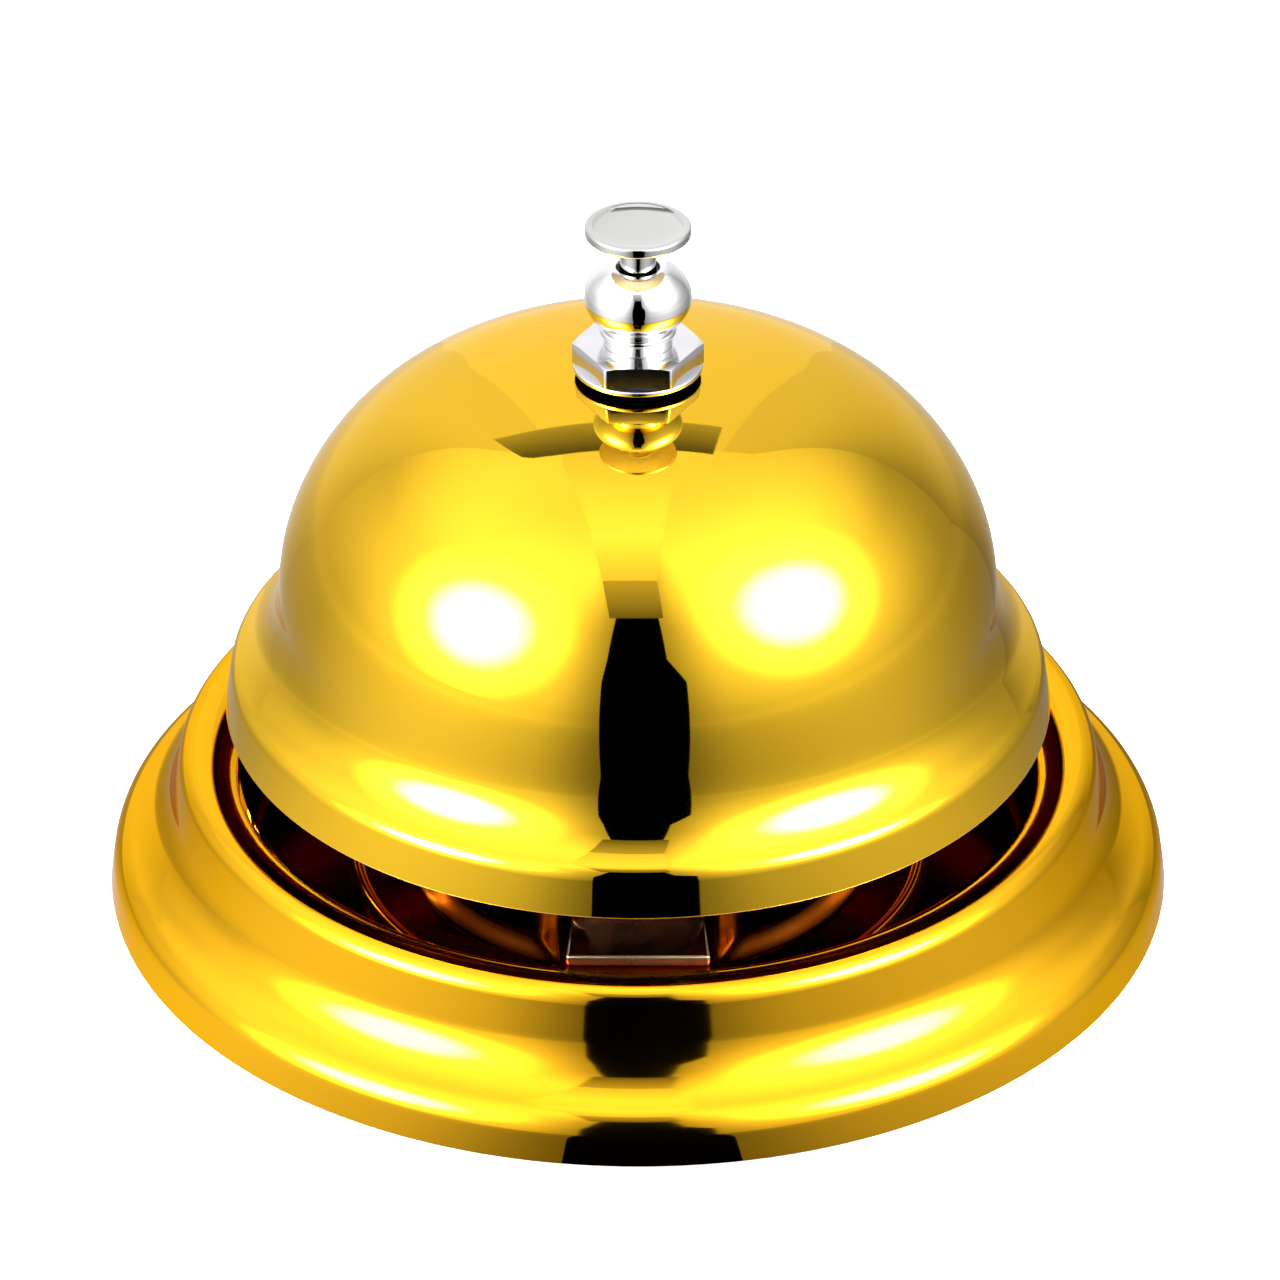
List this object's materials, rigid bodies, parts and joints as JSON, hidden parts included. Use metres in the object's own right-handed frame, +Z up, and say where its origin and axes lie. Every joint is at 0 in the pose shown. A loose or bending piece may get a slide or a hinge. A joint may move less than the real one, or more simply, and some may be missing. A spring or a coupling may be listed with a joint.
{
  "type": "service bell",
  "caption": "Round desk service bell: gold dome on a flared base, silver push button that swings a hammer against the bell.",
  "frame": {"origin": "centre of the four feet's undersides, on the table, on the bell's axis", "axes": "+Z up along the bell's and the button's axis, -Y towards the front, the hammer hangs on the -X side"},
  "size_m": [0.085, 0.085, 0.0588],
  "materials": {
    "bell_gold": "mirror-polished lemon-gold plate",
    "base_gold": "mirror-polished warm gold plate",
    "nickel_plate": "bright nickel plate",
    "zinc_steel": "zinc-plated pressed and turned steel",
    "bright_steel": "ground bright steel",
    "spring_steel": "drawn spring wire",
    "plain_brass": "turned brass",
    "felt": "pressed fibre felt",
    "foot_rubber": "matt moulded rubber"
  },
  "bodies": {
    "base": {"base_skirt": "base_gold", "floor_plate": "base_gold", "rubber_feet": "foot_rubber", "floor_bar": "nickel_plate", "arch_bracket": "zinc_steel", "bracket_rivets": "zinc_steel", "centre_post": "zinc_steel", "guide_bush": "plain_brass", "hammer_yoke": "zinc_steel", "lock_washer": "zinc_steel", "ring_nut": "zinc_steel", "pivot_pin": "bright_steel", "pivot_clip": "spring_steel", "pivot_spacers": "plain_brass", "support_washer": "zinc_steel", "fibre_washer": "felt", "bell_dome": "bell_gold", "flanged_nut": "nickel_plate", "ball_collar": "nickel_plate", "return_spring": "spring_steel"},
    "plunger": {"button_head": "nickel_plate", "plunger_rod": "bright_steel", "rod_collar": "zinc_steel"},
    "hammer": {"hammer_arm": "zinc_steel", "hammer_head": "plain_brass", "hammer_rivet": "bright_steel"}
  },
  "joints": [
    {"name": "plunger_slide", "type": "slide", "parent": "base", "child": "plunger", "axis": [0, 0, 1], "range_m": [-0.0027, 0], "stiffness_N_per_m": 460, "springref_m": 0.003, "deforming": ["return_spring"]},
    {"name": "hammer_swing", "type": "hinge", "parent": "base", "child": "hammer", "pos_m": [-0.0058, 0, 0.0165], "axis": [0, 1, 0], "range_deg": [0, 27.02]}
  ],
  "couplings": [
    {"joint": "hammer_swing", "follows": "plunger_slide", "rad_per_m": -174.01}
  ]
}
